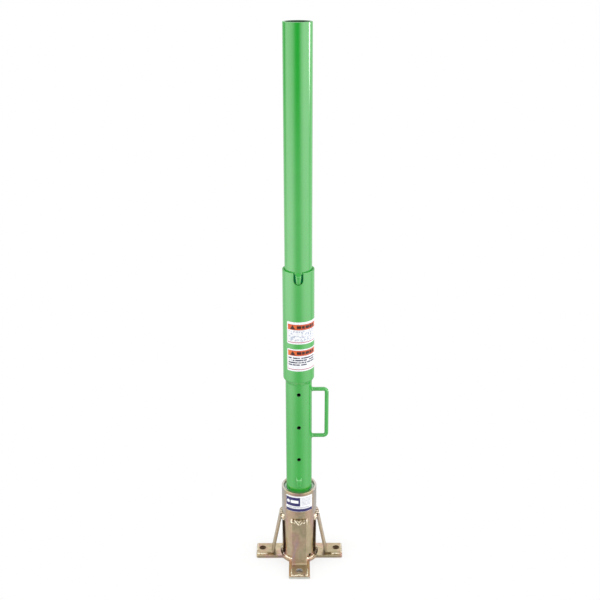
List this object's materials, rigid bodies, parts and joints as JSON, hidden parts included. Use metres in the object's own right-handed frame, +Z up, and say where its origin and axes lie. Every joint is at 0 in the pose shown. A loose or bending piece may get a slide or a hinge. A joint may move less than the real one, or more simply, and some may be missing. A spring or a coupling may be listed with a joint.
{
  "type": "two-piece davit mast in a bolted floor base",
  "caption": "Green two-piece safety post in a bolted cross-shaped floor base with four bent braces; open top, carrying handle, keyed socket joint.",
  "frame": {"origin": "on the post's axis at floor level, the middle of the base plate's underside", "axes": "+Z up along the post, -Y towards the keys, pin holes and labels, +X towards the carrying handle"},
  "size_m": [0.266, 0.266, 1.5871],
  "materials": {
    "green_paint": "gloss green powder coat over aluminium tube",
    "yellow_zinc": "yellow-chromate zinc plating over steel, with iridescent streaks",
    "zinc_weld": "plated weld bead, rippled",
    "grey_plastic": "pale grey extruded plastic",
    "label_film": "printed film, satin"
  },
  "bodies": {
    "base": {"base_plate": "yellow_zinc", "base_sleeve": "yellow_zinc", "brace_right": "yellow_zinc", "brace_back": "yellow_zinc", "brace_left": "yellow_zinc", "brace_front": "yellow_zinc", "brace_weld_right": "zinc_weld", "brace_weld_back": "zinc_weld", "brace_weld_left": "zinc_weld", "brace_weld_front": "zinc_weld", "flange_weld_right": "zinc_weld", "flange_weld_back": "zinc_weld", "flange_weld_left": "zinc_weld", "flange_weld_front": "zinc_weld", "sleeve_foot_weld": "zinc_weld", "base_label": "label_film"},
    "liner": {"sleeve_liner": "grey_plastic"},
    "lower_mast": {"lower_tube": "green_paint", "collar": "green_paint", "collar_weld": "green_paint", "handle": "green_paint", "handle_weld_bottom": "green_paint", "handle_weld_top": "green_paint", "lower_key": "green_paint", "mast_label_lower": "label_film", "mast_label_upper": "label_film"},
    "upper_mast": {"upper_tube": "green_paint", "upper_key": "green_paint"}
  },
  "joints": [
    {"name": "mast_swivel", "type": "hinge", "parent": "base", "child": "liner", "pos_m": [0, 0, 0.1289], "axis": [0, 0, 1], "continuous": true},
    {"name": "lower_mast_lift", "type": "slide", "parent": "liner", "child": "lower_mast", "axis": [0, 0, 1], "range_m": [0, 0.26]},
    {"name": "upper_mast_lift", "type": "slide", "parent": "lower_mast", "child": "upper_mast", "axis": [0, 0, 1], "range_m": [0, 0.31]}
  ]
}
